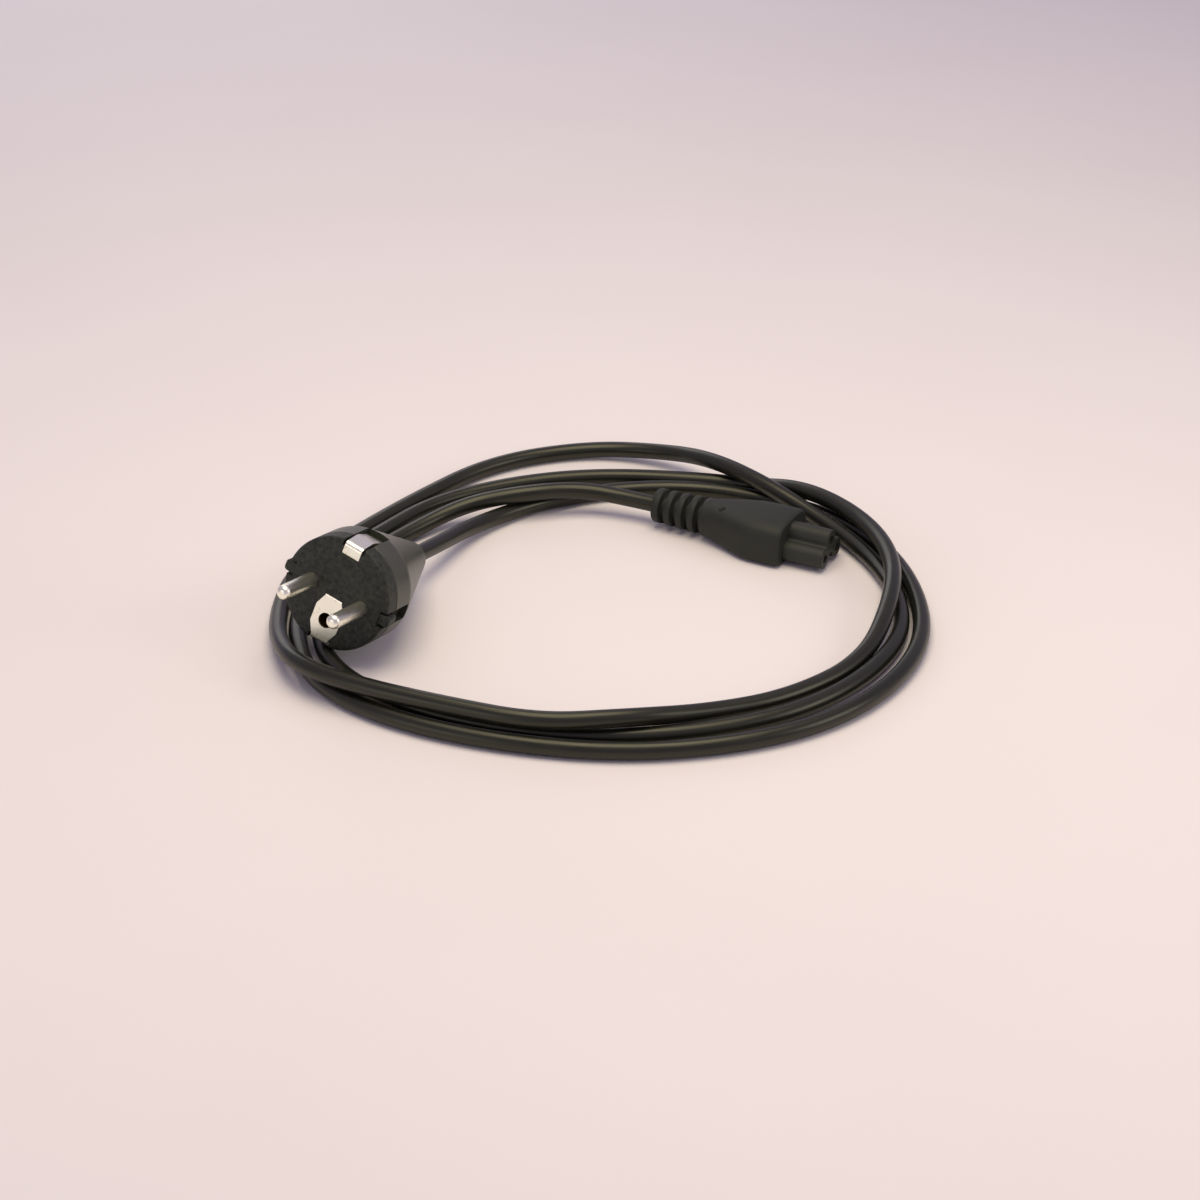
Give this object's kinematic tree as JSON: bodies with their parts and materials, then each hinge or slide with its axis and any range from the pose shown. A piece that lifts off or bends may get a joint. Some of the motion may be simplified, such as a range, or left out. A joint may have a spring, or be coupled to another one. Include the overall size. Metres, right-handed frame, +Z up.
{
  "type": "power cord",
  "caption": "Mains power cord laid in a loose coil, with an earthed round-pin wall plug at one end and a three-lobed appliance connector at the other.",
  "frame": {"origin": "on the surface it lies on, below the middle of the box round the plug and the connector", "axes": "+Z up, +X from the plug's side of the coil to the connector's, +Y from the front of the coil to its back"},
  "size_m": [0.2183, 0.2146, 0.0428],
  "materials": {
    "grip_pvc": "semi-gloss moulded PVC",
    "bridge_plastic": "satin hard plastic",
    "nickel_plate": "satin nickel plate on brass",
    "contact_brass": "rolled strip",
    "sheath_pvc": "smooth extruded PVC with a soft sheen",
    "connector_pvc": "matte moulded PVC",
    "nose_plastic": "satin hard plastic",
    "core_brown": "extruded insulation",
    "core_blue": "extruded insulation",
    "core_green_yellow": "extruded insulation with a stripe",
    "copper_strand": "bare stranded copper"
  },
  "bodies": {
    "root": {"plug_body": "grip_pvc", "plug_bridge": "bridge_plastic", "line_pin": "nickel_plate", "neutral_pin": "nickel_plate", "earth_strip": "nickel_plate", "earth_socket": "contact_brass", "mains_cable": "sheath_pvc", "connector_body": "connector_pvc", "connector_nose": "nose_plastic", "connector_line_contact": "contact_brass", "connector_neutral_contact": "contact_brass", "connector_earth_contact": "contact_brass", "plug_line_core": "core_brown", "plug_line_wire": "copper_strand", "plug_neutral_core": "core_blue", "plug_neutral_wire": "copper_strand", "plug_earth_core": "core_green_yellow", "plug_earth_wire": "copper_strand", "connector_line_core": "core_brown", "connector_line_wire": "copper_strand", "connector_neutral_core": "core_blue", "connector_neutral_wire": "copper_strand", "connector_earth_core": "core_green_yellow", "connector_earth_wire": "copper_strand"}
  },
  "joints": []
}
